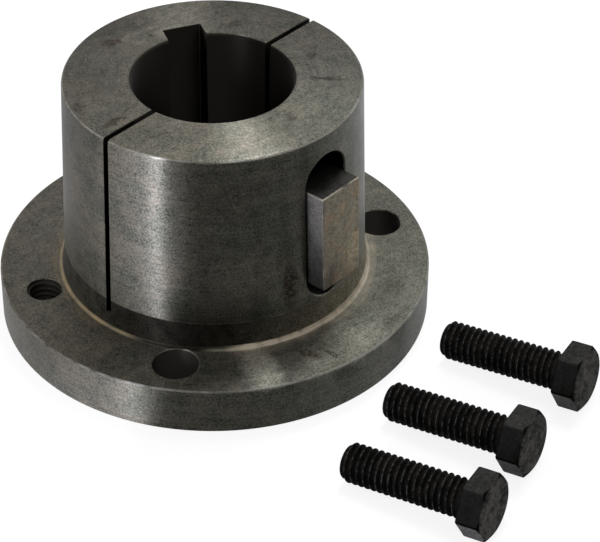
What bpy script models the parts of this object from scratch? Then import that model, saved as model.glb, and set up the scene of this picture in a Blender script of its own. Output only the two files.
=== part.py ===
"""Tapered split bushing with a solid flange, its barrel key and its three hexagon head cap screws.

The bushing stands on its flange with the bore upright. The key faces -Y, the two saw slits lie
along X, and the screws lie on the same surface in front of the key, as taken off. Metres, +Z up;
the origin is on that surface, under the middle of the whole set.
"""

from math import atan, atan2, ceil, cos, pi, radians, sin, sqrt, tan

import bmesh
import bpy
from mathutils import Matrix, Vector

MM = 0.001

# Barrel: a cone of 3/4 inch per foot on the diameter, over a short neck that flares to the flange
OVERALL_LENGTH = 63.5 * MM
SMALL_END_DIAMETER = 70.26 * MM
TAPER_ON_DIAMETER = 1 / 16
SMALL_END_CHAMFER = 0.8 * MM
NECK_LENGTH = 7.15 * MM
NECK_FLARE_RADIUS = 30.0 * MM
NECK_FILLET_RADIUS = 1.0 * MM

# Flange
FLANGE_THICKNESS = 11.9 * MM
FLANGE_EDGE_BREAK = 0.4 * MM
BARREL_TO_BOLT_CIRCLE = 6.34 * MM
BOLT_CIRCLE_TO_RIM = 9.525 * MM

# Bore, with its keyway cut the whole way through
BORE_DIAMETER = 38.1 * MM
BORE_EDGE_BREAK = 0.6 * MM
KEYWAY_WIDTH = 9.525 * MM
KEYWAY_DEPTH = 4.3 * MM
KEYWAY_ANGLE = radians(61.8)

# Two saw slits, cut in one pass from the small end, let the barrel close on its shaft
SLIT_WIDTH = 1.5 * MM
SLIT_END_TO_FLANGE = 3.6 * MM

# Barrel key, which stands on the lower end of its round-ended seat; both follow the cone's slope
KEY_WIDTH = 12.7 * MM
KEY_HEIGHT = 9.525 * MM
KEY_EDGE_BREAK = 0.4 * MM
KEY_REST_GAP = 0.8 * MM
KEY_TO_SEAT_TOP = 7.4 * MM
KEYSEAT_DEPTH = 5.7 * MM
KEYSEAT_SIDE_CLEARANCE = 0.3 * MM
KEYSEAT_TO_FLANGE = 7.45 * MM
KEYSEAT_TO_SMALL_END = 5.8 * MM
SEAT_GAP = 0.3 * MM

# Cap screws, and the holes in the flange that they serve
SCREW_DIAMETER = 9.3 * MM
SCREW_LENGTH = 30.9 * MM
SCREW_POINT_LENGTH = 1.1 * MM
SCREW_POINT_DEPTH = 0.9 * MM
SCREW_NECK_LENGTH = 1.3 * MM
THREAD_PITCH = 1.5875 * MM
THREAD_DEPTH_TO_PITCH = 0.613
HEAD_ACROSS_FLATS = 14.0 * MM
HEAD_HEIGHT = 5.9 * MM
HEAD_CHAMFER_ANGLE = radians(30)
HEAD_TOP_INSET = 0.35 * MM
HOLE_CLEARANCE = 1.6 * MM
TAPPED_MOUTH_BREAK = 0.4 * MM

# The holes stand a sixth of a turn apart, counted from the first; the sixth place, in front, is bare
HOLE_PATTERN_ANGLE = radians(30.6)
TAPPED_HOLE_SIXTHS = (0, 2)
CLEARANCE_HOLE_SIXTHS = (1, 3, 5)

# Where the point of each screw lies: how far along X from the bushing's axis, and how far in front
# of the flange; and the direction, counted from +X, in which they all point
SCREW_POINTS = {
    "cap_screw_1": (19.7 * MM, 4.9 * MM),
    "cap_screw_2": (-7.0 * MM, 9.3 * MM),
    "cap_screw_3": (-29.6 * MM, 15.6 * MM),
}
SCREW_HEADING = radians(101)

# Facets, how far a cutter runs past a face, and how close points are to be one
BODY_FACETS = 120
HOLE_FACETS = 40
SCREW_FACETS = 24
ARC_STEPS = 5
CUT_OVERRUN = 0.5 * MM
SEAM_MERGE = 0.001 * MM

# Worked out from the sizes above
BORE_RADIUS = BORE_DIAMETER / 2
SMALL_END_RADIUS = SMALL_END_DIAMETER / 2
TAPER_START = FLANGE_THICKNESS + NECK_LENGTH
TAPER_SLOPE = TAPER_ON_DIAMETER / 2
LARGE_END_RADIUS = SMALL_END_RADIUS + (OVERALL_LENGTH - TAPER_START) * TAPER_SLOPE
BOLT_CIRCLE_RADIUS = LARGE_END_RADIUS + BARREL_TO_BOLT_CIRCLE
FLANGE_RADIUS = BOLT_CIRCLE_RADIUS + BOLT_CIRCLE_TO_RIM
CONE_ANGLE = atan(TAPER_SLOPE)
KEYSEAT_RADIUS = KEY_WIDTH / 2 + KEYSEAT_SIDE_CLEARANCE
KEYSEAT_LOW = FLANGE_THICKNESS + KEYSEAT_TO_FLANGE
KEYSEAT_LENGTH = (OVERALL_LENGTH - KEYSEAT_TO_SMALL_END - KEYSEAT_LOW) / cos(CONE_ANGLE)


def around(radius, height, angle):
    """A point around Z; radius and height are numbers, or functions of the angle."""
    r = radius(angle) if callable(radius) else radius
    z = height(angle) if callable(height) else height
    return Vector((r * cos(angle), r * sin(angle), z))


def ring(radius, height, count, turn=0.0):
    """Points evenly spaced around Z."""
    return [around(radius, height, turn + 2 * pi * step / count) for step in range(count)]


def finished_mesh(name, shape):
    """Turn a closed shape's faces outwards and make it a mesh, smooth but for its edges."""
    bmesh.ops.recalc_face_normals(shape, faces=shape.faces)
    mesh = bpy.data.meshes.new(name)
    shape.to_mesh(mesh)
    shape.free()
    mesh.shade_smooth()
    mesh.set_sharp_from_angle(angle=radians(25))
    return mesh


def skin(name, rings, closed=False):
    """A closed solid over a row of rings: capped at both ends, or joined end to end."""
    shape = bmesh.new()
    loops = [[shape.verts.new(point) for point in points] for points in rings]
    pairs = list(zip(loops, loops[1:]))
    if closed:
        pairs.append((loops[-1], loops[0]))
    else:
        shape.faces.new(reversed(loops[0]))
        shape.faces.new(loops[-1])
    for low, high in pairs:
        for i in range(len(low)):
            j = (i + 1) % len(low)
            shape.faces.new((low[i], low[j], high[j], high[i]))
    return finished_mesh(name, shape)


def block(name, width, depth, height):
    """A box that is centred on X and Y and stands on Z = 0."""
    corners = [(-1, -1), (1, -1), (1, 1), (-1, 1)]
    outline = [(x * width / 2, y * depth / 2) for x, y in corners]
    return skin(name, [[Vector((x, y, z)) for x, y in outline] for z in (0, height)])


def metal(name, colour, roughness, metallic=1.0):
    """A plain metal finish."""
    material = bpy.data.materials.new(name)
    material.use_nodes = True
    shader = material.node_tree.nodes["Principled BSDF"]
    shader.inputs["Base Color"].default_value = (*colour, 1)
    shader.inputs["Roughness"].default_value = roughness
    shader.inputs["Metallic"].default_value = metallic
    return material


def place(name, mesh, parent, location=(0, 0, 0), rotation=None, material=None):
    """Put a mesh in the scene as one named object."""
    piece = bpy.data.objects.new(name, mesh)
    bpy.context.scene.collection.objects.link(piece)
    piece.parent = parent
    piece.location = location
    if rotation is not None:
        piece.rotation_euler = rotation.to_euler()
    if material is not None and not mesh.materials:
        mesh.materials.append(material)
    return piece


def cut(target, name, mesh, location=(0, 0, 0), rotation=None, parent=None):
    """Take a shape out of the target."""
    cutter = place(name, mesh, parent or target.parent, location, rotation)
    cutter.hide_render = True
    cutter.display_type = "WIRE"
    step = target.modifiers.new(name, "BOOLEAN")
    step.operation = "DIFFERENCE"
    step.solver = "EXACT"
    step.object = cutter


def neck_radius(z):
    """Radius of the neck's hollow flare at a height below the cone's large end."""
    fall = TAPER_START - z
    return LARGE_END_RADIUS + NECK_FLARE_RADIUS - sqrt(NECK_FLARE_RADIUS**2 - fall**2)


def bushing_section():
    """Half section of the turned bushing as (radius, height), from the bore out over the flange."""
    foot = FLANGE_THICKNESS + NECK_FILLET_RADIUS
    fillet_centre = neck_radius(foot) + NECK_FILLET_RADIUS
    chamfer_foot = SMALL_END_RADIUS + SMALL_END_CHAMFER * TAPER_SLOPE
    section = [
        (BORE_RADIUS + BORE_EDGE_BREAK, 0),
        (FLANGE_RADIUS - FLANGE_EDGE_BREAK, 0),
        (FLANGE_RADIUS, FLANGE_EDGE_BREAK),
        (FLANGE_RADIUS, FLANGE_THICKNESS - FLANGE_EDGE_BREAK),
        (FLANGE_RADIUS - FLANGE_EDGE_BREAK, FLANGE_THICKNESS),
    ]
    for step in range(ARC_STEPS + 1):
        turn = pi / 2 * step / ARC_STEPS
        out = fillet_centre - NECK_FILLET_RADIUS * sin(turn)
        section.append((out, foot - NECK_FILLET_RADIUS * cos(turn)))
    for step in range(1, ARC_STEPS + 1):
        z = foot + (TAPER_START - foot) * step / ARC_STEPS
        section.append((neck_radius(z), z))
    section += [
        (chamfer_foot, OVERALL_LENGTH - SMALL_END_CHAMFER),
        (chamfer_foot - SMALL_END_CHAMFER, OVERALL_LENGTH),
        (BORE_RADIUS + BORE_EDGE_BREAK, OVERALL_LENGTH),
        (BORE_RADIUS, OVERALL_LENGTH - BORE_EDGE_BREAK),
        (BORE_RADIUS, BORE_EDGE_BREAK),
    ]
    return section


def hole_place(sixth):
    """Centre and turn of one hole in the flange, counted in sixths of a turn."""
    angle = HOLE_PATTERN_ANGLE + sixth * pi / 3
    return Vector((cos(angle), sin(angle), 0)) * BOLT_CIRCLE_RADIUS, Matrix.Rotation(angle, 3, "Z")


def make_bushing(parent, material):
    """The bushing: turned, bored, broached, drilled, tapped and sawn through both sides."""
    rings = [ring(r, z, BODY_FACETS, HOLE_PATTERN_ANGLE) for r, z in bushing_section()]
    bushing = place("bushing", skin("bushing", rings, closed=True), parent, material=material)

    reach = BORE_RADIUS + KEYWAY_DEPTH
    keyway = block("keyway_cut", reach, KEYWAY_WIDTH, OVERALL_LENGTH + 2 * CUT_OVERRUN)
    middle = Vector((cos(KEYWAY_ANGLE), sin(KEYWAY_ANGLE), 0)) * reach / 2
    low = Vector((0, 0, -CUT_OVERRUN))
    cut(bushing, "keyway_cut", keyway, middle + low, Matrix.Rotation(KEYWAY_ANGLE, 3, "Z"))

    hole = (SCREW_DIAMETER + HOLE_CLEARANCE) / 2
    half_facet = pi / HOLE_FACETS
    drill_ends = (-CUT_OVERRUN, FLANGE_THICKNESS + CUT_OVERRUN)
    drill = [ring(hole, z, HOLE_FACETS, half_facet) for z in drill_ends]
    for number, sixth in enumerate(CLEARANCE_HOLE_SIXTHS, 1):
        name = f"clearance_hole_cut_{number}"
        cut(bushing, name, skin(name, drill), *hole_place(sixth))

    minor = (SCREW_DIAMETER - THREAD_PITCH) / 2
    mouth = minor + TAPPED_MOUTH_BREAK + CUT_OVERRUN
    tap_profile = [
        (mouth, -CUT_OVERRUN),
        (minor, TAPPED_MOUTH_BREAK),
        (minor, FLANGE_THICKNESS - TAPPED_MOUTH_BREAK),
        (mouth, FLANGE_THICKNESS + CUT_OVERRUN),
    ]
    tap = [ring(r, z, HOLE_FACETS, half_facet) for r, z in tap_profile]
    for number, sixth in enumerate(TAPPED_HOLE_SIXTHS, 1):
        name = f"tapped_hole_cut_{number}"
        cut(bushing, name, skin(name, tap), *hole_place(sixth))

    slit_low = FLANGE_THICKNESS + SLIT_END_TO_FLANGE
    slit_high = OVERALL_LENGTH + CUT_OVERRUN
    blade = block("slit_cut", 2 * FLANGE_RADIUS, SLIT_WIDTH, slit_high - slit_low)
    cut(bushing, "slit_cut", blade, Vector((0, 0, slit_low)))
    return bushing


def keyseat_frame(parent):
    """An empty on the cone at the seat's lower end: X across the seat, Y up the cone, Z outward."""
    frame = bpy.data.objects.new("keyseat_frame", None)
    bpy.context.scene.collection.objects.link(frame)
    frame.parent = parent
    cone_radius = LARGE_END_RADIUS - (KEYSEAT_LOW - TAPER_START) * TAPER_SLOPE
    frame.location = (0, -cone_radius, KEYSEAT_LOW)
    frame.rotation_euler = (pi / 2 - CONE_ANGLE, 0, 0)
    return frame


def make_keyseat(bushing, frame):
    """Mill the seat for the key, with a round end at both ends."""
    outline = []
    steps = 4 * ARC_STEPS
    for centre, start in ((KEYSEAT_LENGTH - KEYSEAT_RADIUS, 0), (KEYSEAT_RADIUS, pi)):
        for step in range(steps + 1):
            turn = start + pi * step / steps
            outline.append((KEYSEAT_RADIUS * cos(turn), centre + KEYSEAT_RADIUS * sin(turn)))
    depths = (-KEYSEAT_DEPTH, CUT_OVERRUN)
    seat = skin("keyseat_cut", [[Vector((x, y, depth)) for x, y in outline] for depth in depths])
    cut(bushing, "keyseat_cut", seat, parent=frame)


def make_key(frame, material):
    """The key, square across its ends, down on the round end of its seat."""
    rest = KEYSEAT_RADIUS - sqrt(KEYSEAT_RADIUS**2 - (KEY_WIDTH / 2) ** 2)
    low = rest + KEY_REST_GAP
    length = KEYSEAT_LENGTH - KEY_TO_SEAT_TOP - low
    bar = block("barrel_key", KEY_WIDTH, length, KEY_HEIGHT)
    seated = (0, low + length / 2, SEAT_GAP - KEYSEAT_DEPTH)
    key = place("barrel_key", bar, frame, seated, material=material)
    edges = key.modifiers.new("edge_break", "BEVEL")
    edges.width = KEY_EDGE_BREAK
    edges.segments = 1


def thread_shape(crest, root, low, high):
    """A right-hand thread about Z: one pitch of its section, swept up a helix and cut off square.

    The helix starts two turns low and ends one turn high, so that each cut meets it all round.
    """
    shape = bmesh.new()
    start = low - 2 * THREAD_PITCH
    turns = ceil((high - low) / THREAD_PITCH) + 3
    section = [(root, 0), (crest, THREAD_PITCH / 2), (root, THREAD_PITCH)]
    verts = [shape.verts.new((radius, 0, start + z)) for radius, z in section]
    edges = [shape.edges.new(pair) for pair in zip(verts, verts[1:])]
    rise = Vector((0, 0, THREAD_PITCH / SCREW_FACETS))
    bmesh.ops.spin(
        shape, geom=verts + edges, axis=(0, 0, 1), dvec=rise,
        angle=2 * pi * turns, steps=SCREW_FACETS * turns,
    )
    bmesh.ops.remove_doubles(shape, verts=shape.verts, dist=SEAM_MERGE)
    for height, away in ((low, -1), (high, 1)):
        geometry = shape.verts[:] + shape.edges[:] + shape.faces[:]
        bmesh.ops.bisect_plane(
            shape, geom=geometry, plane_co=(0, 0, height), plane_no=(0, 0, away), clear_outer=True
        )
    return shape


def screw_mesh():
    """A cap screw along Z: head above Z = 0, thread below, its flats facing +Y and -Y.

    The thread's upper end is drawn on as the plain neck, the underside of the head and its flats.
    """
    crest = SCREW_DIAMETER / 2
    root = crest - THREAD_DEPTH_TO_PITCH * THREAD_PITCH
    flat = HEAD_ACROSS_FLATS / 2
    top = flat - HEAD_TOP_INSET

    def hexagon(angle):
        return flat / cos((angle % (pi / 3)) - pi / 6)

    def chamfer_height(angle):
        return HEAD_HEIGHT - (hexagon(angle) - top) * tan(HEAD_CHAMFER_ANGLE)

    shape = thread_shape(crest, root, -SCREW_LENGTH, -SCREW_NECK_LENGTH)
    for vert in shape.verts:
        from_end = (vert.co.z + SCREW_LENGTH) / SCREW_POINT_LENGTH
        most = crest - SCREW_POINT_DEPTH * max(0, 1 - from_end)
        vert.co.xy *= min(1, most / vert.co.xy.length)

    rim = [e for e in shape.edges if e.is_boundary and e.verts[0].co.z > -SCREW_LENGTH / 2]
    for radius, height in (
        (crest, -SCREW_NECK_LENGTH / 2),
        (crest, 0),
        (hexagon, 0),
        (hexagon, chamfer_height),
        (top, HEAD_HEIGHT),
    ):
        drawn = bmesh.ops.extrude_edge_only(shape, edges=rim)["geom"]
        rim = [part for part in drawn if isinstance(part, bmesh.types.BMEdge)]
        for vert in {vert for edge in rim for vert in edge.verts}:
            angle = atan2(vert.co.y, vert.co.x)
            vert.co = around(radius, height, angle)
    ends = [edge for edge in shape.edges if edge.is_boundary]
    bmesh.ops.holes_fill(shape, edges=ends, sides=0)
    return finished_mesh("cap_screw", shape)


def make_screws(parent, material):
    """Each screw lies on the edge of a head flat and on the crests at its point."""
    mesh = screw_mesh()
    flat = HEAD_ACROSS_FLATS / 2
    tilt = atan((flat - SCREW_DIAMETER / 2) / (SCREW_LENGTH - SCREW_POINT_LENGTH))
    heading = Vector((cos(SCREW_HEADING), sin(SCREW_HEADING), 0))
    side = Vector((-sin(SCREW_HEADING), cos(SCREW_HEADING), 0))
    point = heading * cos(tilt) - Vector((0, 0, sin(tilt)))
    turned = Matrix((side, side.cross(point), -point)).transposed()
    for name, (x, gap) in SCREW_POINTS.items():
        tip = Vector((x, -FLANGE_RADIUS - gap, 0))
        under_head = tip - heading * SCREW_LENGTH * cos(tilt)
        under_head.z = flat * cos(tilt)
        place(name, mesh, parent, under_head, turned, material)


def centre_on_footprint(origin):
    """Move the whole set so that the origin lies under the middle of its box."""
    bpy.context.view_layer.update()
    view = bpy.context.evaluated_depsgraph_get()
    corners = []
    for piece in origin.children_recursive:
        if piece.type == "MESH" and not piece.hide_render:
            ready = piece.evaluated_get(view)
            corners += [ready.matrix_world @ vertex.co for vertex in ready.data.vertices]
    for axis in (0, 1):
        places = [corner[axis] for corner in corners]
        origin.location[axis] = -(min(places) + max(places)) / 2


def main():
    for old in list(bpy.data.objects):
        bpy.data.objects.remove(old)
    origin = bpy.data.objects.new("set_origin", None)
    bpy.context.scene.collection.objects.link(origin)
    iron = metal("cast_iron", (0.27, 0.26, 0.24), 0.42)
    key_steel = metal("key_steel", (0.40, 0.36, 0.31), 0.45)
    black_oxide = metal("black_oxide", (0.035, 0.034, 0.033), 0.45)
    bushing = make_bushing(origin, iron)
    frame = keyseat_frame(origin)
    make_keyseat(bushing, frame)
    make_key(frame, key_steel)
    make_screws(origin, black_oxide)
    centre_on_footprint(origin)


main()
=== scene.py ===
"""Looks of the tapered split bushing with its barrel key and its three cap screws.

Metres, +Z up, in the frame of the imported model.
"""

from math import atan, atan2, cos, pi, radians, sin, sqrt, tan

import bmesh
import bpy
from mathutils import Matrix, Vector


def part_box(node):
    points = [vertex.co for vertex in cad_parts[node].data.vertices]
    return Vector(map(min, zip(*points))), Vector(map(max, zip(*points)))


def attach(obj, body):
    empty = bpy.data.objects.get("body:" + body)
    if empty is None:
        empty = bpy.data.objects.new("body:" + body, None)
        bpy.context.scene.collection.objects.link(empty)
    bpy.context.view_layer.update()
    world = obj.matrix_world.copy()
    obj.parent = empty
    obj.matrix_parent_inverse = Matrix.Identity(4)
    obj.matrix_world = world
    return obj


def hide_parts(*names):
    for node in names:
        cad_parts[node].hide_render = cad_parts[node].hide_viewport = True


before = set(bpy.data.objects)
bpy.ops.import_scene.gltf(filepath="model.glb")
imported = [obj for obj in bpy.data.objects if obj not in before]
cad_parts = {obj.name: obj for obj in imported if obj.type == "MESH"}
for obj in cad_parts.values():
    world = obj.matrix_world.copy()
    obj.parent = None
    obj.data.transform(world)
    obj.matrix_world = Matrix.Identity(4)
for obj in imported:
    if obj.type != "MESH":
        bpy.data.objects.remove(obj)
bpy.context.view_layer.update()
MM = 0.001

# The camera stands where the photograph was taken: high in front of the bushing, a long lens, with
# the key and the screws turned to its right. Its place and lens were fitted to a frame of 600 x 542
# pixels.
bushing_low, bushing_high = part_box("bushing")
AXIS = Vector(((bushing_low.x + bushing_high.x) / 2, (bushing_low.y + bushing_high.y) / 2, 0))
VIEW_TURN = radians(46.6)
CAMERA_BACK = 462.7 * MM
CAMERA_HEIGHT = 357.3 * MM
CAMERA_HEADING = radians(2.58)
CAMERA_PITCH = radians(37.14)
CAMERA_ROLL = radians(0.74)
LENS_MM = 141.2

studio = Matrix.Translation(AXIS) @ Matrix.Rotation(-VIEW_TURN, 4, "Z")
camera = bpy.data.objects.new("camera", bpy.data.cameras.new("camera"))
bpy.context.scene.collection.objects.link(camera)
camera.data.lens = LENS_MM
camera.data.clip_start = 10 * MM
stand = studio @ Matrix.Translation((0, -CAMERA_BACK, CAMERA_HEIGHT))
aim = Matrix.Rotation(-CAMERA_HEADING, 4, "Z") @ Matrix.Rotation(pi / 2 - CAMERA_PITCH, 4, "X")
camera.matrix_world = stand @ aim @ Matrix.Rotation(CAMERA_ROLL, 4, "Z")
bpy.context.scene.camera = camera
bpy.context.scene.view_settings.view_transform = "Standard"

# Studio: a pale floor that looks white and keeps the shadows of the set, a card for reflections, and
# soft lights. They are placed as the camera sees the set, with X to its right and Y away from it.
FLOOR_SIZE = 6.0
FLOOR_GREY = (0.28, 0.28, 0.28, 1)
FLOOR_ROUGHNESS = 0.9
FLOOR_WHITE = 0.84


class Socket:
    """An output of a material's nodes; arithmetic on it adds Math nodes to the same material."""

    def __init__(self, tree, link=None):
        self.tree = tree
        self.link = link

    def fill(self, node, sockets):
        """Set a node's inputs, each to a plain value or to what a Socket gives."""
        for name, value in sockets.items():
            if isinstance(value, Socket):
                self.tree.links.new(value.link, node.inputs[name])
            else:
                node.inputs[name].default_value = value

    def node(self, kind, settings=None, sockets=None, output=0):
        """Add any node: its settings first, then the values or links of its sockets."""
        made = self.tree.nodes.new("ShaderNode" + kind)
        for name, value in (settings or {}).items():
            if name == "stops":
                ramp = made.color_ramp.elements
                while len(ramp) < len(value):
                    ramp.new(0.5)
                for stop, (position, colour) in zip(ramp, value):
                    stop.position = position
                    stop.color = (*colour, 1)
            else:
                setattr(made, name, value)
        self.fill(made, sockets or {})
        return Socket(self.tree, made.outputs[output])

    def math(self, operation, *values):
        return self.node("Math", {"operation": operation}, dict(enumerate(values)))

    def __add__(self, other):
        return self.math("ADD", self, other)

    __radd__ = __add__

    def __sub__(self, other):
        return self.math("SUBTRACT", self, other)

    def __rsub__(self, other):
        return self.math("SUBTRACT", other, self)

    def __mul__(self, other):
        return self.math("MULTIPLY", self, other)

    __rmul__ = __mul__

    def __truediv__(self, other):
        return self.math("DIVIDE", self, other)

    def __pow__(self, other):
        return self.math("POWER", self, other)

    def greatest(self, other):
        return self.math("MAXIMUM", self, other)

    def blend(self, low, high):
        """The colour low where this is 0, and high where it is 1."""
        # Mix has sockets of one name for numbers and for colours, so those for colours go by number
        return self.node("Mix", {"data_type": "RGBA"}, {0: self, 6: low, 7: high}, output=2)

    def step(self, low, high):
        """0 below low, 1 above high, and smooth between them."""
        return self.node("MapRange", {"interpolation_type": "SMOOTHSTEP"},
                         {"Value": self, "From Min": low, "From Max": high})

    def times(self, factor):
        """This colour or vector, scaled by one number."""
        return self.node("VectorMath", {"operation": "SCALE"}, {0: self, "Scale": factor})

    def length(self):
        """How long this vector is."""
        return self.node("VectorMath", {"operation": "LENGTH"}, {0: self}, output="Value")

    def seen_from(self, centre=(0, 0, 0), turned=(0, 0, 0), size=(1, 1, 1)):
        """This place as measured from a centre, along turned axes and in units of a size."""
        return self.node("Mapping", {"vector_type": "TEXTURE"}, {
            "Vector": self, "Location": centre, "Rotation": turned, "Scale": size})

    def axes(self):
        """The three parts of this vector."""
        return [self.node("SeparateXYZ", sockets={"Vector": self}, output=axis) for axis in "XYZ"]

    def noise(self, scale, detail=2.0, roughness=0.5):
        """Noise about 0.5 over this vector, with features about 1 / scale across."""
        return self.node("TexNoise", sockets={
            "Vector": self, "Scale": scale, "Detail": detail, "Roughness": roughness})

    def bump(self, strength, distance):
        """The normal of a surface that this height roughens."""
        return self.node("Bump", sockets={"Height": self, "Strength": strength, "Distance": distance})


def new_material(name):
    """A material with nodes, its tree as a Socket without a link, and its Principled shader."""
    material = bpy.data.materials.new(name)
    material.use_nodes = True
    tree = material.node_tree
    return material, Socket(tree), tree.nodes["Principled BSDF"]


def wear(piece, material):
    """Give a piece its one material."""
    piece.data.materials.clear()
    piece.data.materials.append(material)


def finished(name, shape, place=Matrix.Identity(4)):
    """Turn a bmesh into an object at the origin, with its place in its mesh."""
    shape.transform(place)
    mesh = bpy.data.meshes.new(name)
    shape.to_mesh(mesh)
    shape.free()
    piece = bpy.data.objects.new(name, mesh)
    bpy.context.scene.collection.objects.link(piece)
    return piece


def shown_white(paint):
    """1 for what the camera sees, straight or in metal or glass, and 0 for the light on the set."""
    camera_ray = paint.node("LightPath", output="Is Camera Ray")
    glossy_ray = paint.node("LightPath", output="Is Glossy Ray")
    clear_ray = paint.node("LightPath", output="Is Transmission Ray")
    return camera_ray.greatest(glossy_ray).greatest(clear_ray)


shape = bmesh.new()
bmesh.ops.create_grid(shape, x_segments=1, y_segments=1, size=FLOOR_SIZE / 2)
floor = finished("floor", shape)
material, paint, shader = new_material("floor_white")
paint.fill(shader, {
    "Base Color": FLOOR_GREY, "Roughness": FLOOR_ROUGHNESS, "Emission Color": (1, 1, 1, 1),
    "Emission Strength": FLOOR_WHITE * shown_white(paint)})
wear(floor, material)

# A card lies under the set and stands up in front of it, for its reflections alone: black in front,
# pale to the left and behind. Its greys count once round from behind, by the left, the front and the
# right, first close to the flange and then further out.
CARD_RADIUS = 0.9
CARD_HEIGHT = 0.5
CARD_LIFT = 0.1 * MM
CARD_STEPS = 64
CARD_FRONT = (radians(-34), radians(80))
CARD_NEAR = (82 * MM, 108 * MM)
NEAR_STOPS = [
    (0.00, 0.60), (0.25, 0.60), (0.34, 0.75), (0.415, 1.60), (0.433, 1.60), (0.455, 0.20), (0.54, 0.21),
    (0.60, 0.42), (0.67, 0.50), (0.71, 0.50), (0.78, 0.65), (1.00, 0.60),
]
FAR_STOPS = [
    (0.00, 0.64), (0.16, 0.50), (0.25, 0.56), (0.31, 1.25), (0.35, 2.00), (0.385, 3.00), (0.403, 3.00),
    (0.415, 0.20), (0.50, 0.14), (0.66, 0.20), (0.73, 0.32), (0.80, 0.65), (0.87, 0.90), (0.94, 0.90),
    (1.00, 0.64),
]
CARD_TINT = (0.98, 1.00, 1.03)
CARD_COOLER = 0.06


def card_ramp(stops):
    """The stops of a ramp in the card's tint, which is cooler where the card is brighter."""
    red, green, blue = CARD_TINT
    return [(stop, (grey * red, grey * green, grey * (blue + CARD_COOLER * grey)))
            for stop, grey in stops]


shape = bmesh.new()
bmesh.ops.create_circle(shape, segments=CARD_STEPS, radius=CARD_RADIUS, cap_ends=True)
front_rim = []
for edge in shape.edges:
    middle = (edge.verts[0].co + edge.verts[1].co) / 2
    if CARD_FRONT[0] < atan2(middle.x, -middle.y) < CARD_FRONT[1]:
        front_rim.append(edge)
for part in bmesh.ops.extrude_edge_only(shape, edges=front_rim)["geom"]:
    if isinstance(part, bmesh.types.BMVert):
        part.co.z = CARD_HEIGHT
card = finished("reflection_card", shape)
card.matrix_world = studio @ Matrix.Translation((0, 0, CARD_LIFT))
card.visible_camera = card.visible_diffuse = card.visible_shadow = card.visible_transmission = False
material, paint, shader = new_material("card_grey")
x, y = paint.node("TexCoord", output="Object").axes()[:2]
once_round = x.math("ARCTAN2", x, -1 * y) / (2 * pi) + 0.5
near, far = (paint.node("ValToRGB", {"stops": card_ramp(stops)}, {"Fac": once_round})
             for stops in (NEAR_STOPS, FAR_STOPS))
glow = ((x * x + y * y) ** 0.5).step(*CARD_NEAR).blend(near, far)
paint.fill(shader, {
    "Base Color": (0, 0, 0, 1), "Roughness": 1, "Specular IOR Level": 0,
    "Emission Color": glow, "Emission Strength": 1})
wear(card, material)

# The room is dim to the set, and white to the camera and in metal
ROOM_LIGHT = 0.40
world = bpy.data.worlds.new("studio")
world.use_nodes = True
bpy.context.scene.world = world
background = world.node_tree.nodes["Background"]
sky = Socket(world.node_tree)
sky.fill(background, {"Color": (1, 1, 1, 1), "Strength": shown_white(sky).greatest(ROOM_LIGHT)})

# Softboxes: each has its bearing from the camera's side and its height, both in degrees, then its
# distance, size, brightness and tint
SOFTBOX_POWER = 4
SOFTBOXES = {
    "key_left": (-40, 12, 1.2, (0.11, 0.5), 19.0, (0.95, 1.00, 1.18)),
    "overhead": (156, 70, 1.2, (0.20, 0.34), 12.0, (0.99, 1.00, 1.06)),
    "right_back": (148, 42, 1.3, (0.35, 0.50), 1.2, (0.95, 1.00, 1.06)),
}
for name, (bearing, climb, distance, size, brightness, tint) in SOFTBOXES.items():
    lamp = bpy.data.lights.new(name, "AREA")
    lamp.shape = "RECTANGLE"
    lamp.size, lamp.size_y = size
    lamp.energy = SOFTBOX_POWER * brightness * size[0] * size[1]
    lamp.color = tint
    light = bpy.data.objects.new(name, lamp)
    light.visible_camera = False
    bpy.context.scene.collection.objects.link(light)
    turned = Matrix.Rotation(radians(bearing), 4, "Z") @ Matrix.Rotation(radians(90 - climb), 4, "X")
    light.matrix_world = studio @ turned @ Matrix.Translation((0, 0, distance))

# Bushing: one iron casting, turned all over, bored, broached, drilled and tapped in the flange,
# milled for its key and sawn through both sides of the barrel. It stands on its flange.
FLANGE_RADIUS = (bushing_high.x - bushing_low.x) / 2
LENGTH = bushing_high.z
FLANGE_THICKNESS = 11.9 * MM
FLANGE_EDGE = 0.45 * MM
TAPER_START = 19.05 * MM
TAPER_SLOPE = 1 / 32
SMALL_END_RADIUS = 35.13 * MM
SMALL_END_EDGE = 0.8 * MM
LARGE_END_RADIUS = SMALL_END_RADIUS + (LENGTH - TAPER_START) * TAPER_SLOPE
NECK_FLARE_RADIUS = 30 * MM
NECK_FILLET = 1.0 * MM
NECK_STEPS = 8
BORE_RADIUS = 19.05 * MM
BORE_EDGE = 0.6 * MM
TURN_STEPS = 256
ROUND_STEPS = 4
EASED_STEPS = 3
MERGE_GAP = 1e-7
SLIVER = 1e-6
SHARP_ANGLE = radians(32)
FACE_WEIGHT = 90


def round_off(shape, geom, size, segments=EASED_STEPS, affect="EDGES"):
    """Round over edges, or corners of an outline."""
    bmesh.ops.bevel(shape, geom=geom, offset=size, segments=segments, profile=0.5, affect=affect,
                    material=-1)


def rounded_loop(shape, corners):
    """A closed outline in the XZ plane through corners of (radius, height, size of the round)."""
    verts = [shape.verts.new((x, 0, z)) for x, z, size in corners]
    for start, end in zip(verts, verts[1:] + verts[:1]):
        shape.edges.new((start, end))
    for vert, (x, z, size) in zip(verts, corners):
        if size:
            round_off(shape, [vert], size, ROUND_STEPS, "VERTICES")


def turn(shape, steps=TURN_STEPS):
    """Turn everything in the bmesh once about Z."""
    bmesh.ops.spin(shape, geom=shape.verts[:] + shape.edges[:], cent=(0, 0, 0), axis=(0, 0, 1),
                   angle=2 * pi, steps=steps, use_merge=True)
    bmesh.ops.remove_doubles(shape, verts=shape.verts, dist=MERGE_GAP)
    bmesh.ops.recalc_face_normals(shape, faces=shape.faces)


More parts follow.
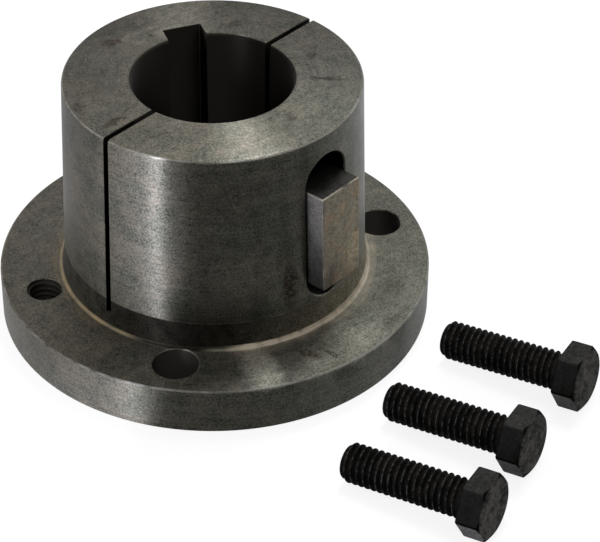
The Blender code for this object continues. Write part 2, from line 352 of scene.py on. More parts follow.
def combine(piece, others, operation="DIFFERENCE"):
    """Cut the others out of the piece, or join them to it, and clear slivers and the others away."""
    for other in others:
        joint = piece.modifiers.new(other.name, "BOOLEAN")
        joint.operation = operation
        joint.solver = "EXACT"
        joint.object = other
    view = bpy.context.evaluated_depsgraph_get()
    result = bpy.data.meshes.new_from_object(piece.evaluated_get(view))
    shape = bmesh.new()
    shape.from_mesh(result)
    bmesh.ops.dissolve_degenerate(shape, dist=SLIVER, edges=shape.edges)
    shape.to_mesh(result)
    shape.free()
    piece.modifiers.clear()
    piece.data = result
    for other in others:
        bpy.data.objects.remove(other)


def smooth(piece):
    """Shade round surfaces smooth and keep flat faces flat."""
    piece.data.shade_smooth()
    piece.data.set_sharp_from_angle(angle=SHARP_ANGLE)
    weigh = piece.modifiers.new("face_weights", "WEIGHTED_NORMAL")
    weigh.keep_sharp = True
    weigh.weight = FACE_WEIGHT


foot = FLANGE_THICKNESS + NECK_FILLET
neck = []
for step in range(NECK_STEPS + 1):
    z = foot + (TAPER_START - foot) * step / NECK_STEPS
    flare = NECK_FLARE_RADIUS - sqrt(NECK_FLARE_RADIUS**2 - (TAPER_START - z) ** 2)
    neck.append((LARGE_END_RADIUS + flare, z, 0))
neck_foot = (neck[0][0], FLANGE_THICKNESS, NECK_FILLET)
shape = bmesh.new()
rounded_loop(shape, [
    (BORE_RADIUS + BORE_EDGE, 0, 0),
    (FLANGE_RADIUS, 0, FLANGE_EDGE),
    (FLANGE_RADIUS, FLANGE_THICKNESS, FLANGE_EDGE),
    neck_foot,
    *neck[1:],
    (SMALL_END_RADIUS, LENGTH, SMALL_END_EDGE),
    (BORE_RADIUS + BORE_EDGE, LENGTH, 0),
    (BORE_RADIUS, LENGTH - BORE_EDGE, 0),
    (BORE_RADIUS, BORE_EDGE, 0),
])
turn(shape)
bushing = finished("bushing_turned", shape, Matrix.Translation(AXIS))

# Keyway of the bore: a groove with a flat bottom, broached from end to end for the shaft's own key
KEYWAY_WIDTH = 9.525 * MM
KEYWAY_REACH = BORE_RADIUS + 4.3 * MM
KEYWAY_TURN = radians(61.8)
KEYWAY_CORNER = 0.35 * MM
OVERRUN = 1 * MM


def box(width, recess_shade, height, centre=(0, 0, 0)):
    """A plain block as a bmesh, centred where it is told."""
    shape = bmesh.new()
    size = Matrix.Diagonal((width, recess_shade, height, 1))
    bmesh.ops.create_cube(shape, size=1, matrix=Matrix.Translation(centre) @ size)
    return shape


shape = box(KEYWAY_REACH, KEYWAY_WIDTH, LENGTH + 2 * OVERRUN, (KEYWAY_REACH / 2, 0, LENGTH / 2))
corners = [e for e in shape.edges if all(v.co.x > KEYWAY_REACH / 2 for v in e.verts)]
corners = [e for e in corners if abs(e.verts[0].co.z - e.verts[1].co.z) > LENGTH]
round_off(shape, corners, KEYWAY_CORNER)
around = Matrix.Translation(AXIS) @ Matrix.Rotation(KEYWAY_TURN, 4, "Z")
cutters = [finished("keyway", shape, around)]

# Screw holes: a sixth of a turn apart on the bolt circle, alternately tapped and plain, with none in
# front. The plain ones take the screws that draw the bushing in, the tapped ones push it out again.
BOLT_CIRCLE = LARGE_END_RADIUS + 6.34 * MM
HOLE_TURN = radians(30.6)
HOLE_RADIUS = 5.45 * MM
HOLE_EDGE = 0.2 * MM
HOLE_STEPS = 97
MOUTH_OVERRUN = OVERRUN / 4
THREAD_PITCH = 1.5875 * MM
THREAD_CREST = 4.65 * MM
THREAD_STEPS = 48
TAPPED_ROOT = THREAD_CREST - THREAD_PITCH / 2
TAPPED_MOUTH = THREAD_CREST - 0.3 * MM
PLAIN_SIXTHS = (1, 3, 5)
TAPPED_SIXTHS = (0, 2)


def hole_place(sixth):
    """Where one hole of the flange stands."""
    turned = Matrix.Rotation(HOLE_TURN + sixth * pi / 3, 4, "Z")
    return Matrix.Translation(AXIS) @ turned @ Matrix.Translation((BOLT_CIRCLE, 0, 0))


def turned_plug(outline):
    """A plug turned about Z from its outline of (radius, height), to cut a hole or its mouth."""
    shape = bmesh.new()
    verts = [shape.verts.new((radius, 0, height)) for radius, height in outline]
    for pair in zip(verts, verts[1:]):
        shape.edges.new(pair)
    turn(shape, HOLE_STEPS)
    return shape


def thread(crest, root, pitch, low, high):
    """A right-hand thread about Z, open at its ends: one pitch of its section, swept up a helix."""
    shape = bmesh.new()
    land = pitch / 16
    near_root = root + 0.12 * (crest - root)
    near_crest = crest - 0.10 * (crest - root)
    section = [
        (root, 0), (root, 2 * land), (near_root, 2.9 * land), (near_crest, 6.4 * land),
        (crest, 7.3 * land), (crest, 8.7 * land), (near_crest, 9.6 * land),
        (near_root, 13.1 * land), (root, 14 * land), (root, 16 * land),
    ]
    turns = int((high - low) / pitch) + 3
    start = low - pitch * 1.5
    verts = [shape.verts.new((radius, 0, start + z)) for radius, z in section]
    edges = [shape.edges.new(pair) for pair in zip(verts, verts[1:])]
    bmesh.ops.spin(shape, geom=verts + edges, cent=(0, 0, 0), axis=(0, 0, 1),
                   dvec=(0, 0, pitch / THREAD_STEPS), angle=2 * pi * turns, steps=THREAD_STEPS * turns)
    bmesh.ops.remove_doubles(shape, verts=shape.verts, dist=pitch * 1e-4)
    for height, side in ((low, -1), (high, 1)):
        everything = shape.verts[:] + shape.edges[:] + shape.faces[:]
        bmesh.ops.bisect_plane(shape, geom=everything, plane_co=(0, 0, height), plane_no=(0, 0, side),
                               clear_outer=True, dist=1e-9)
    return shape


def capped(shape):
    """Close the open ends and point every face outwards."""
    ends = [e for e in shape.edges if e.is_boundary]
    bmesh.ops.holes_fill(shape, edges=ends, sides=0)
    bmesh.ops.recalc_face_normals(shape, faces=shape.faces)
    return shape


mouth = HOLE_RADIUS + HOLE_EDGE + MOUTH_OVERRUN
below, above = -MOUTH_OVERRUN, FLANGE_THICKNESS + MOUTH_OVERRUN
for sixth in PLAIN_SIXTHS:
    shape = turned_plug([
        (0, below), (mouth, below), (HOLE_RADIUS, HOLE_EDGE),
        (HOLE_RADIUS, FLANGE_THICKNESS - HOLE_EDGE), (mouth, above), (0, above)])
    cutters.append(finished(f"plain_hole_{sixth}", shape, hole_place(sixth)))
for sixth in TAPPED_SIXTHS:
    shape = thread(THREAD_CREST, TAPPED_ROOT, THREAD_PITCH, -OVERRUN, FLANGE_THICKNESS + OVERRUN)
    cutters.append(finished(f"tapped_hole_{sixth}", capped(shape), hole_place(sixth)))
    for number, (face, inward) in enumerate(((0, 1), (FLANGE_THICKNESS, -1))):
        outside = face - inward * MOUTH_OVERRUN
        shape = turned_plug([
            (0, outside), (TAPPED_MOUTH + MOUTH_OVERRUN, outside), (0, face + inward * TAPPED_MOUTH)])
        cutters.append(finished(f"tapped_mouth_{sixth}_{number}", shape, hole_place(sixth)))

# Two saw slits, cut in one pass to just above the flange, which let the barrel close on its shaft
SLIT_WIDTH = 1.5 * MM
SLIT_FLOOR = 15.5 * MM
slit_top = LENGTH + OVERRUN
shape = box(2 * FLANGE_RADIUS, SLIT_WIDTH, slit_top - SLIT_FLOOR, (0, 0, (slit_top + SLIT_FLOOR) / 2))
cutters.append(finished("slits", shape, Matrix.Translation(AXIS)))

# Seat of the barrel key: a pocket with round ends, milled square to the cone, its rim rounded over
KEYSEAT_RADIUS = 6.65 * MM
KEYSEAT_LOW = 19.35 * MM
KEYSEAT_HIGH = 57.7 * MM
KEYSEAT_DEPTH = 5.7 * MM
KEYSEAT_RIM = 0.7 * MM
KEYSEAT_RIM_STEPS = 4
KEYSEAT_STEPS = 72
CONE_ANGLE = atan(TAPER_SLOPE)
keyseat_length = (KEYSEAT_HIGH - KEYSEAT_LOW) / cos(CONE_ANGLE)
cone_radius = LARGE_END_RADIUS - (KEYSEAT_LOW - TAPER_START) * TAPER_SLOPE
keyseat = Matrix.Translation(AXIS + Vector((0, -cone_radius, KEYSEAT_LOW)))
keyseat = keyseat @ Matrix.Rotation(pi / 2 - CONE_ANGLE, 4, "X")

# Its cutter: a circle, pulled apart into a slot and raised to the cone and out over the rounded rim
shape = bmesh.new()
half_step = Matrix.Rotation(pi / KEYSEAT_STEPS, 4, "Z")
bmesh.ops.create_circle(shape, segments=KEYSEAT_STEPS, radius=KEYSEAT_RADIUS, cap_ends=True,
                        matrix=half_step)
ends = {True: Vector((0, keyseat_length - KEYSEAT_RADIUS, 0)), False: Vector((0, KEYSEAT_RADIUS, 0))}
for vert in shape.verts:
    vert.co += ends[vert.co.y > 0]
    vert.co.z = -KEYSEAT_DEPTH
shape.faces.ensure_lookup_table()
top = shape.faces[0]
for step in range(KEYSEAT_RIM_STEPS + 2):
    overrun = OVERRUN if step > KEYSEAT_RIM_STEPS else 0
    bend = min(step, KEYSEAT_RIM_STEPS) / KEYSEAT_RIM_STEPS * pi / 2
    top = bmesh.ops.extrude_discrete_faces(shape, faces=[top])["faces"][0]
    for vert in top.verts:
        upper = vert.co.y > keyseat_length / 2
        outward = (vert.co - ends[upper]) * Vector((1, 1, 0))
        foot_x = outward.normalized().x * KEYSEAT_RADIUS
        drop = cone_radius - sqrt(cone_radius**2 - foot_x**2)
        reach = KEYSEAT_RADIUS + KEYSEAT_RIM * (1 - cos(bend))
        vert.co = ends[upper] + outward.normalized() * reach
        vert.co.z = -drop - KEYSEAT_RIM * (1 - sin(bend)) + overrun
cutters.append(finished("keyseat", capped(shape), keyseat))

combine(bushing, cutters)
smooth(bushing)

# Its iron was left unpainted and oiled: warm grey with brown and green casts, fine turning lines, a
# dark cast neck, and the stains and scratches of handling. Light and shade are painted in too: shade on
# the faces, in the hollows and at the foot of the barrel, and highlights on the fillet, the edges and
# the turned faces. Places are in the studio's frame, X to the camera's right and Y away from it.
IRON_WARM = (0.153, 0.138, 0.111, 1)
IRON_COOL = (0.133, 0.133, 0.108, 1)
BORE_SHADE = (0.030, 0.027, 0.023, 1)
BORE_DEEPER_SHADE = (0.015, 0.0135, 0.0115, 1)
HOLE_SHADE = (0.052, 0.048, 0.041, 1)
SEAT_SHADE = (0.007, 0.006, 0.005, 1)
NECK_GREY = (0.050, 0.047, 0.037, 1)
NECK_DARKEST = (0.020, 0.018, 0.014, 1)
NECK_BROWN = (0.118, 0.108, 0.078, 1)
FILLET_GOLD_HIGHLIGHT = (0.26, 0.195, 0.115, 1)
FILLET_CREAM_HIGHLIGHT = (0.47, 0.40, 0.29, 1)
EDGE_BRIGHT = (0.32, 0.305, 0.275, 1)
STAIN_BROWN = (0.045, 0.034, 0.026, 1)
TOP, LEDGE = LENGTH / MM, FLANGE_THICKNESS / MM
STAINS = [  # centre and radii in millimetres, turn in degrees, and strength
    ((-23.7, 15.2, TOP), (2.6, 2.0, 2), 20, 1.0),
    ((6.2, 24.3, TOP), (4.2, 0.6, 2), 42, 0.9),
    ((5.5, 22.6, TOP), (3.0, 0.5, 2), 30, 0.8),
    ((26.5, -1.4, TOP), (4.4, 1.2, 2), -12, 1.0),
    ((23.4, 8.8, TOP), (1.5, 1.8, 2), 0, 0.8),
    ((-22.5, -18.5, TOP), (4.6, 1.3, 2), 42, 0.85),
    ((-30.7, -12.7, TOP), (1.8, 2.8, 2), 20, 0.75),
    ((-15.2, 18.6, TOP), (0.8, 2.2, 2), 25, 0.8),
    ((17.8, -17.9, TOP), (1.0, 1.2, 2), 0, 0.6),
    ((-12.0, -24.0, TOP), (6.0, 0.8, 2), 30, 0.35),
    ((-27.5, -1.5, TOP), (5.5, 9.5, 2), 0, 0.22),
    ((-25.8, 2.4, TOP), (2.8, 0.7, 2), 35, 0.6),
    ((-28.6, -6.2, TOP), (2.2, 0.6, 2), 30, 0.6),
    ((-22.8, -5.4, TOP), (1.4, 0.7, 2), 10, 0.5),
    ((-19.2, -13.2, TOP), (4.8, 0.5, 2), 40, 0.5),
    ((0.8, 27.8, TOP), (0.6, 2.2, 2), -15, 0.6),
    ((24.6, 12.6, TOP), (0.8, 0.8, 2), 0, 0.7),
    ((21.3, -39.0, LEDGE), (3.6, 1.6, 2), -15, 1.0),
    ((27.0, -39.2, LEDGE), (3.6, 0.6, 2), -28, 1.0),
    ((42.6, -14.0, LEDGE), (3.0, 6.5, 2), -20, 0.45),
    ((41.1, -27.6, LEDGE), (4.5, 1.6, 2), 60, 0.5),
    ((17.2, -32.0, 27.0), (2.3, 2.5, 7.0), 0, 1.0),
    ((14.5, -33.0, 35.0), (1.2, 2.0, 3.0), 0, 0.5),
    ((-2.9, -36.1, 29.3), (2.2, 2.0, 1.6), 0, 0.45),
    ((10.6, -33.7, 55.0), (3.5, 2.5, 5.0), 0, 0.30),
    ((-2.2, -36.0, 42.0), (2.6, 3.0, 26.0), 0, 0.30),
    ((5.0, -35.2, 52.0), (7.0, 4.0, 9.0), 0, 0.30),
    ((33.0, -13.0, 42.0), (8.0, 14.0, 24.0), 0, 0.22),
]
PAINTED_SHEEN = [  # the same for spots of painted sheen, where the turned faces catch the lamps
    ((10.0, -44.0, LEDGE), (5.0, 13.0, 2), 15, 1.9),
    ((29.0, -36.0, LEDGE), (16.0, 9.0, 2), 40, 1.1),
    ((-16.5, 18.0, TOP), (9.0, 5.0, 2), 25, 0.45),
]
MARK_DRIFT = 4.2 * MM


def marked(place, marks):
    """1 inside uneven oval marks on the surface, fading out at their rims, and 0 elsewhere."""
    drift = place.node("TexNoise", sockets={"Vector": place, "Scale": 420.0, "Detail": 3.0},
                       output="Color")
    drift = drift.node("VectorMath", {"operation": "SUBTRACT"}, {0: drift, 1: (0.5, 0.5, 0.5)})
    uneven = place.node("VectorMath", {"operation": "ADD"}, {0: place, 1: drift.times(MARK_DRIFT)})
    mask = None
    for centre, radii, turned, strength in marks:
        off = uneven.seen_from(Vector(centre) * MM, (0, 0, radians(turned)), Vector(radii) * MM)
        mark = strength * (1 - off.length().step(0.35, 1.15))
        mask = mask.greatest(mark) if mask else mark
    return mask


material, paint, shader = new_material("turned_iron")
place = paint.node("TexCoord", output="Object").seen_from(AXIS, (0, 0, -VIEW_TURN))
x, y, z = place.axes()
out = (x * x + y * y) ** 0.5

# Where each surface is: 1 on it, and 0 elsewhere
small_end = z.step(LENGTH - 0.3 * MM, LENGTH - 0.1 * MM)
above_neck = z.step(TAPER_START - 0.15 * MM, TAPER_START + 0.15 * MM)
above_flange = z.step(FLANGE_THICKNESS - 0.05 * MM, FLANGE_THICKNESS + 0.05 * MM)
on_ledge = 1 - z.step(FLANGE_THICKNESS, FLANGE_THICKNESS + 0.2 * MM)
on_ledge = on_ledge * z.step(FLANGE_THICKNESS - 0.3 * MM, FLANGE_THICKNESS - 0.05 * MM)
faced = small_end.greatest(on_ledge)
in_flange = 1 - z.step(FLANGE_THICKNESS - 0.5 * MM, FLANGE_THICKNESS - 0.2 * MM)
in_flange = in_flange * z.step(0.1 * MM, 0.3 * MM)
hole = in_flange * (1 - out.step(FLANGE_RADIUS - 1.0 * MM, FLANGE_RADIUS - 0.8 * MM))
cone = SMALL_END_RADIUS + (LENGTH - z) * TAPER_SLOPE
deep = above_flange * (1 - small_end) * (cone - out).step(0.12 * MM, 0.45 * MM)
inside = hole.greatest(deep)
cast = (1 - above_neck) * z.step(FLANGE_THICKNESS + 0.3 * MM, FLANGE_THICKNESS + 0.6 * MM)
cast = cast * (1 - inside)
neck_radius = neck[0][0]
fillet_top = FLANGE_THICKNESS + 0.3 * MM + x.step(-10 * MM, 5 * MM) * 0.6 * MM
fillet = (1 - (z - fillet_top).step(0, 0.4 * MM)) * above_flange
fillet = fillet * (1 - out.step(neck_radius + 0.5 * MM, neck_radius + 1.2 * MM))
# A faint ring of painted highlight on the flange, just outside the fillet
halo = 0.3 * on_ledge * (1 - out.step(neck_radius + 0.5 * MM, neck_radius + 4.5 * MM))
top_edge = z.step(LENGTH - 0.55 * MM, LENGTH - 0.35 * MM)
top_edge = top_edge * (out - SMALL_END_RADIUS).step(-0.45 * MM, -0.25 * MM)
rim_edge = (out - FLANGE_RADIUS).step(-0.5 * MM, -0.3 * MM)
rim_edge = rim_edge * z.step(FLANGE_THICKNESS - 0.5 * MM, FLANGE_THICKNESS - 0.3 * MM)

# Bare iron, in clouds of two casts, with its grain and its turning lines, and painted shade across the
# flat faces: darker overall, lighter to the right, and on the small end darker to the back and the
# sides
lines = paint.node("CombineXYZ", sockets={0: out * 2600 + x * 45, 1: y * 45 + x * 20, 2: z * 2600})
turning = lines.noise(1.0, 2.0, 0.6)
clouds = place.noise(95.0, 3.0, 0.6)
patches = place.noise(330.0, 2.0, 0.55)
grain = place.noise(2400.0, 2.0, 0.7)
warmth = (clouds - 0.5) * 2.2 + (patches - 0.5) * 1.2 - x * 7 + 0.45
iron = warmth.step(0.0, 1.0).blend(IRON_COOL, IRON_WARM)
shade = 1 + (grain - 0.5) * 2.8 + (turning - 0.5) * 0.8
shade = shade + (patches - 0.5) * 0.7 + (clouds - 0.5) * 0.6
painted_face_shade = 1 - 0.12 * small_end - 0.28 * on_ledge + x * 4 * faced
painted_face_shade = painted_face_shade - (y * 10 + x.math("ABSOLUTE", x) * 6) * small_end
iron = iron.times(shade.greatest(0.3) * painted_face_shade)

# Painted sheen on the turned faces, stains, scratches across the faces, and painted shade at the foot
# of the barrel
stained = marked(place, STAINS)
iron = iron.times(1 + marked(place, PAINTED_SHEEN))
pores = place.noise(1300.0, 3.0, 0.7).step(0.36, 0.62)
iron = (stained * (0.25 + pores)).blend(iron, STAIN_BROWN)
across = place.seen_from(turned=(0, 0, radians(38)), size=(11 * MM, 0.35 * MM, 3 * MM))
scratches = across.noise(1.0, 3.0, 0.6).step(0.57, 0.70) * faced
iron = iron.times(1 - 0.40 * scratches)
# Painted shade near the foot of the barrel, across the middle of it
painted_foot_shade = above_neck * (1 - z.step(TAPER_START, TAPER_START + 12 * MM))
painted_foot_shade = painted_foot_shade * x.step(-14 * MM, -8 * MM) * (1 - x.step(8 * MM, 15 * MM))
iron = iron.times(1 - 0.60 * painted_foot_shade)

# The cast neck, grey on the left, darkest in the middle and brown on the right; painted shade in the
# bore, seat, slits and holes; painted highlight and shade on the fillet; and bright edges
skin = x.step(-32 * MM, -19 * MM).blend(NECK_GREY, NECK_DARKEST)
skin = x.step(0, 27 * MM).blend(skin, NECK_BROWN)
skin = skin.times((1 + (grain - 0.5) * 3 + (patches - 0.5) * 1.4).greatest(0.3))
iron = cast.blend(iron, skin)
# Painted shade inside: the bore darker on its right, the seat and slits darkest, the holes less dark
bore_shade = x.step(0, 11 * MM).blend(BORE_SHADE, BORE_DEEPER_SHADE)
recess_shade = out.step(BORE_RADIUS + 5 * MM, BORE_RADIUS + 7 * MM).blend(bore_shade, SEAT_SHADE)
recess_shade = hole.blend(recess_shade, HOLE_SHADE)
iron = inside.blend(iron, recess_shade)
iron = (0.6 * fillet).blend(iron, NECK_BROWN)
# Painted highlight on the fillet, gold on the left and cream on the right, broken by turning rings
rings = paint.node("CombineXYZ", sockets={0: (out - z) * 2000, 1: x * 40, 2: y * 40}).noise(1.0, 2.0)
mottled_highlight = (-0.8 * x).step(8 * MM, 22 * MM).greatest(1.6 * x.step(1 * MM, 8 * MM))
mottled_highlight = fillet.greatest(halo) * mottled_highlight * (0.35 + (place.noise(260.0, 2.0) - 0.35) * 2.2)
mottled_highlight = mottled_highlight * (0.45 + 0.75 * rings.step(0.35, 0.60))
iron = mottled_highlight.blend(iron, x.step(-10 * MM, 5 * MM).blend(FILLET_GOLD_HIGHLIGHT, FILLET_CREAM_HIGHLIGHT))
# Painted shade on the fillet left of the middle, where it would catch the key light
dark_patch = fillet * x.step(-22 * MM, -16 * MM) * (1 - x.step(-5 * MM, 0))
iron = dark_patch.blend(iron, NECK_DARKEST)
# Edges lighter, partly from wear and partly as painted highlights
edge_wear_and_highlight = top_edge.greatest(rim_edge) * (0.35 + (place.noise(300.0, 2.0) - 0.4) * 2)
iron = edge_wear_and_highlight.blend(iron, EDGE_BRIGHT)

rough = 0.36 + 0.24 * inside.greatest(cast) + 0.25 * hole + (turning - 0.5) * 0.10
rough = rough + (clouds - 0.5) * 0.08 + 0.12 * stained + 0.2 * rim_edge.greatest(dark_patch)
relief = turning * 0.5 + grain * 0.5
# Less metal under the fillet's painted highlight on the right, so that its colour shows
diffuse_highlight = 0.85 * mottled_highlight * x.step(-5 * MM, 5 * MM)
paint.fill(shader, {
    "Base Color": iron, "Roughness": rough, "Metallic": (1 - diffuse_highlight).greatest(0.1),
    "Normal": relief.bump(0.35, 0.02 * MM), "Anisotropic": 0.95, "Anisotropic Rotation": 0.25})
wear(bushing, material)
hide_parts("bushing")
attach(bushing, "root")

# Barrel key: a length of square drawn steel with eased edges. It stands down on the lower end of its
# seat, and turns the bushing with its hub.
KEY_WIDTH = 12.7 * MM
KEY_HEIGHT = 9.525 * MM
KEY_EDGE = 0.4 * MM
KEY_REST_GAP = 0.8 * MM
KEY_TO_SEAT_TOP = 7.4 * MM
SEAT_GAP = 0.3 * MM

key_low = KEYSEAT_RADIUS - sqrt(KEYSEAT_RADIUS**2 - (KEY_WIDTH / 2) ** 2) + KEY_REST_GAP
key_length = keyseat_length - KEY_TO_SEAT_TOP - key_low
key_centre = (0, key_low + key_length / 2, SEAT_GAP - KEYSEAT_DEPTH + KEY_HEIGHT / 2)
shape = box(KEY_WIDTH, key_length, KEY_HEIGHT, key_centre)
round_off(shape, shape.edges[:], KEY_EDGE)
key = finished("barrel_key_drawn", shape, keyseat)
smooth(key)

# Its drawn face has gone tan, rusty and yellow in patches, with a dark patch near its lower end; its
# flank is grey with painted shade towards its lower end; its upper end is dark; and its edges are
# bright, partly from wear and partly as painted highlights
KEY_TAN = (0.345, 0.305, 0.225, 1)
KEY_RUST = (0.38, 0.295, 0.195, 1)
KEY_YELLOW = (0.50, 0.42, 0.27, 1)
KEY_FLANK = (0.225, 0.213, 0.190, 1)
KEY_END = (0.060, 0.058, 0.052, 1)
KEY_BRIGHT = (0.36, 0.33, 0.27, 1)
key_face = SEAT_GAP - KEYSEAT_DEPTH + KEY_HEIGHT
key_top = key_low + key_length
material, paint, shader = new_material("key_steel")
place = paint.node("TexCoord", output="Object").seen_from(keyseat.translation, keyseat.to_euler())
x, y, z = place.axes()
patches = place.noise(260.0, 3.0, 0.6)
spots = place.noise(900.0, 2.0, 0.6)
grain = place.noise(2300.0, 2.0, 0.7)
drawn = paint.node("CombineXYZ", sockets={0: x * 3000, 1: y * 120, 2: z * 3000}).noise(1.0, 2.0, 0.6)
steel = patches.step(0.46, 0.64).blend(KEY_TAN, KEY_RUST)
yellow_place = (4 * MM, key_low + 6 * MM, key_face)
yellow = place.seen_from(yellow_place, size=(4.5 * MM, 6.5 * MM, 6 * MM))
yellow = 1 - yellow.length().step(0.3, 1.1)
steel = (yellow * (0.25 + spots.step(0.2, 0.8) * 0.6)).blend(steel, KEY_YELLOW)
# A dark patch on its face, near its lower end on the left
dark_patch = marked(place, [((-4.6, 6.5, key_face / MM), (3.2, 6.5, 3.0), -12, 0.55)])
steel = dark_patch.blend(steel, KEY_END)
# Painted shade on the flank, darkening towards its lower end
flank = 1 - x.step(-KEY_WIDTH / 2 + 0.1 * MM, -KEY_WIDTH / 2 + 0.3 * MM)
steel = flank.blend(steel, y.step(key_low, key_top).blend(KEY_END, KEY_FLANK))
end = y.step(key_top - 0.3 * MM, key_top - 0.15 * MM)
steel = end.blend(steel, KEY_END)
shade = 1 + (grain - 0.5) * 1.6 + (spots - 0.5) * 0.9 + (drawn - 0.5) * 0.5 + (patches - 0.5) * 0.5
steel = steel.times(shade.greatest(0.3))
# Edges lighter, partly from wear and partly as painted highlights
side = x.math("ABSOLUTE", x).step(KEY_WIDTH / 2 - KEY_EDGE, KEY_WIDTH / 2 - 0.15 * MM)
brow = z.step(key_face - KEY_EDGE, key_face - 0.15 * MM)
upper = y.step(key_top - KEY_EDGE, key_top - 0.15 * MM)
edge_wear_and_highlight = (side * brow).greatest(side * upper).greatest(brow * upper)
steel = (edge_wear_and_highlight * patches.step(0.35, 0.6)).blend(steel, KEY_BRIGHT)
rough = 0.48 + (patches - 0.5) * 0.25 + (drawn - 0.5) * 0.15
relief = drawn * 0.5 + spots * 0.5
paint.fill(shader, {
    "Base Color": steel, "Roughness": rough, "Metallic": 1, "Normal": relief.bump(0.3, 0.04 * MM)})
wear(key, material)
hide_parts("barrel_key")
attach(key, "root")

# Cap screws: blackened steel, with a hexagon head, cold forged and chamfered, and a rolled right-hand
# thread up to a short plain neck. They lie where they were put down, each on the edge of a head flat
# and on its point.
SCREW_LENGTH = 30.9 * MM
SCREW_NECK = 1.3 * MM
SCREW_NECK_RADIUS = THREAD_CREST - 0.15 * MM
SCREW_POINT_LENGTH = 1.1 * MM
SCREW_POINT_DEPTH = 0.9 * MM
THREAD_DEPTH = 0.613 * THREAD_PITCH
THREAD_RUN_OUT = 0.7 * THREAD_DEPTH
HEAD_FLAT = 7.0 * MM
HEAD_HEIGHT = 5.9 * MM
HEAD_TOP_INSET = 0.35 * MM
NECK_IN_HEAD = HEAD_HEIGHT / 3
HEAD_CHAMFER = radians(30)
HEAD_STEPS = 96
HEAD_CORNER = 0.35 * MM
HEAD_SEAT_EDGE = 0.4 * MM
SCREW_HEADING = radians(101)
SCREW_POINTS = {  # X of each point, and its gap from the flange in front
    "cap_screw_1": (19.7 * MM, 4.9 * MM),
    "cap_screw_2": (-7.0 * MM, 9.3 * MM),
    "cap_screw_3": (-29.6 * MM, 15.6 * MM),
}

# The shank: its thread narrows to the point, and runs out into the neck, which ends in the head
root = THREAD_CREST - THREAD_DEPTH
shape = thread(THREAD_CREST, root, THREAD_PITCH, -SCREW_LENGTH, -SCREW_NECK)
for vert in shape.verts:
    radius = vert.co.xy.length
    from_point = (vert.co.z + SCREW_LENGTH) / SCREW_POINT_LENGTH
    from_neck = (-SCREW_NECK - vert.co.z) / THREAD_PITCH
    most = THREAD_CREST - SCREW_POINT_DEPTH * max(0, 1 - from_point)
    least = root + THREAD_RUN_OUT * max(0, 1 - from_neck)
    vert.co.xy *= max(min(radius, most), least) / radius
neck_edges = [e for e in shape.edges if e.is_boundary and e.verts[0].co.z > -SCREW_LENGTH / 2]
raised = bmesh.ops.extrude_edge_only(shape, edges=neck_edges)["geom"]
for vert in raised:
    if isinstance(vert, bmesh.types.BMVert):
        vert.co.xy *= SCREW_NECK_RADIUS / vert.co.xy.length
        vert.co.z = NECK_IN_HEAD
shank = finished("cap_screw_shank", capped(shape))

# The head: a round, raised in two steps and pressed out to six flats, with its chamfer and its rounds
head_top = HEAD_FLAT - HEAD_TOP_INSET
shape = bmesh.new()
bmesh.ops.create_circle(shape, segments=HEAD_STEPS, radius=head_top, cap_ends=True)
shape.faces.ensure_lookup_table()
face = shape.faces[0]
for height in (HEAD_HEIGHT / 2, HEAD_HEIGHT):
    face = bmesh.ops.extrude_discrete_faces(shape, faces=[face])["faces"][0]
    for vert in face.verts:
        vert.co.z = height
capped(shape)
corner_verts = []
for vert in [v for v in shape.verts if v.co.z < HEAD_HEIGHT]:
    angle = atan2(vert.co.y, vert.co.x) % (pi / 3)
    reach = HEAD_FLAT / cos(angle - pi / 6)
    vert.co.xy *= reach / vert.co.xy.length
    if vert.co.z:
        vert.co.z = HEAD_HEIGHT - (reach - head_top) * tan(HEAD_CHAMFER)
    if min(angle, pi / 3 - angle) < 0.01:
        corner_verts.append(vert)
corners = [e for e in shape.edges if e.verts[0] in corner_verts and e.verts[1] in corner_verts]
round_off(shape, corners, HEAD_CORNER)
seat_rim = [e for e in shape.edges if abs(e.verts[0].co.z) + abs(e.verts[1].co.z) < SLIVER]
round_off(shape, seat_rim, HEAD_SEAT_EDGE)
bmesh.ops.recalc_face_normals(shape, faces=shape.faces)
screw = finished("cap_screw_forged", shape)
combine(screw, [shank], "UNION")

# Each point keeps its place along the screw and off its axis, for the finish to read
for name in ("along", "radius"):
    kept = screw.data.attributes.new(name, "FLOAT", "POINT")
    for vert in screw.data.vertices:
        kept.data[vert.index].value = vert.co.z if name == "along" else vert.co.xy.length

# Black oxide: lighter over the thread, its crests lighter in spots from wear and painted glints, the
# end of the head lighter from wear and painted light, painted light from above on the flats turned up,
# and painted bounce light from the floor, palest, on those turned down
OXIDE = (0.0030, 0.0028, 0.0025, 1)
OXIDE_BROWN = (0.0060, 0.0053, 0.0044, 1)
OXIDE_TOP_LIT = (0.068, 0.066, 0.059, 1)
OXIDE_FLOOR_LIT = (0.30, 0.293, 0.278, 1)
END_LIT_GREY = (0.135, 0.130, 0.120, 1)
CREST_WEAR_AND_GLINT = (0.062, 0.059, 0.054, 1)
material, paint, shader = new_material("black_oxide")
place = paint.node("TexCoord", output="Object")
along, radius = (paint.node("Attribute", {"attribute_name": name}, output="Fac")
                 for name in ("along", "radius"))
patches = place.noise(300.0, 3.0, 0.6)
spots = place.noise(1100.0, 2.0, 0.6)
grain = place.noise(2600.0, 2.0, 0.7)
oxide = patches.step(0.42, 0.62).blend(OXIDE, OXIDE_BROWN)
# The end of the head: lighter and mottled, partly from wear and partly painted light
end = along.step(HEAD_HEIGHT - 0.4 * MM, HEAD_HEIGHT - 0.1 * MM)
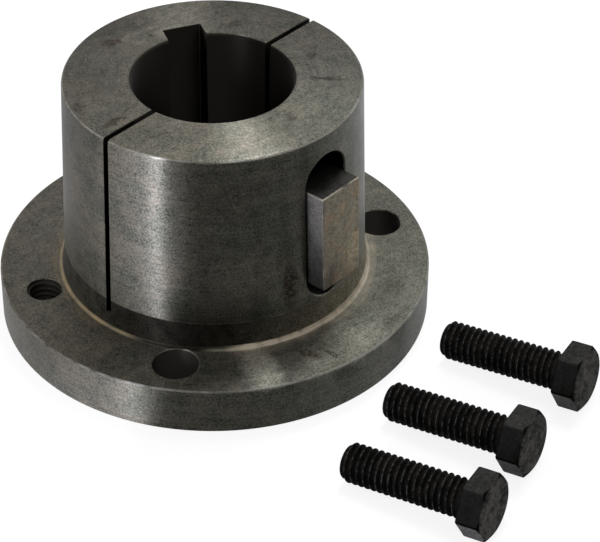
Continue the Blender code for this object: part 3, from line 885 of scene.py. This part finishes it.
mottled_highlight = end * (0.25 + patches.step(0.35, 0.65) * 0.5 + spots.step(0.40, 0.62) * 0.4)
oxide = mottled_highlight.blend(oxide, END_LIT_GREY)
# Painted light: greyer on the flats turned up, palest on those turned down, from the floor's bounce
up = paint.node("NewGeometry", output="Normal").axes()[2]
on_head = along.step(0.1 * MM, 0.5 * MM) * (0.25 + spots * 0.6) * (1 - end)
oxide = (up.step(0.3, 0.95) * on_head).blend(oxide, OXIDE_TOP_LIT)
oxide = ((-1 * up).step(0.3, 0.6) * on_head * 1.5).blend(oxide, OXIDE_FLOOR_LIT)
threaded = 1 - along.step(-SCREW_NECK, 0)
oxide = oxide.times(1 + 1.6 * threaded)
# Crests of the thread lighter in spots, partly from wear and partly as painted glints
crest = threaded * radius.step(THREAD_CREST - 0.14 * MM, THREAD_CREST - 0.02 * MM)
oxide = (crest * spots.step(0.40, 0.62)).blend(oxide, CREST_WEAR_AND_GLINT)
shade = 1 + (grain - 0.5) * 1.8 + (spots - 0.5) * 0.8 + (patches - 0.5) * 0.6
rough = 0.46 + (patches - 0.5) * 0.25 + (spots - 0.5) * 0.2
paint.fill(shader, {
    "Base Color": oxide.times(shade.greatest(0.3)), "Roughness": rough,
    "Normal": spots.bump(0.4, 0.05 * MM), "Metallic": 0, "Specular IOR Level": 0.02})
wear(screw, material)

# The three are laid down in front of the flange, all with one heading and one tilt
tilt = atan((HEAD_FLAT - THREAD_CREST) / (SCREW_LENGTH - SCREW_POINT_LENGTH))
heading = Vector((cos(SCREW_HEADING), sin(SCREW_HEADING), 0))
side = Vector((-sin(SCREW_HEADING), cos(SCREW_HEADING), 0))
point = heading * cos(tilt) - Vector((0, 0, sin(tilt)))
lie = Matrix((side, side.cross(point), -point)).transposed().to_4x4()
for name, (x, gap) in SCREW_POINTS.items():
    tip = AXIS + Vector((x, -FLANGE_RADIUS - gap, 0))
    under_head = tip - heading * SCREW_LENGTH * cos(tilt)
    under_head.z = HEAD_FLAT * cos(tilt)
    copy = screw.copy()
    copy.data = screw.data.copy()
    copy.name = name + "_threaded"
    copy.data.transform(Matrix.Translation(under_head) @ lie)
    bpy.context.scene.collection.objects.link(copy)
    smooth(copy)
    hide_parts(name)
    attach(copy, "root")
bpy.data.objects.remove(screw)
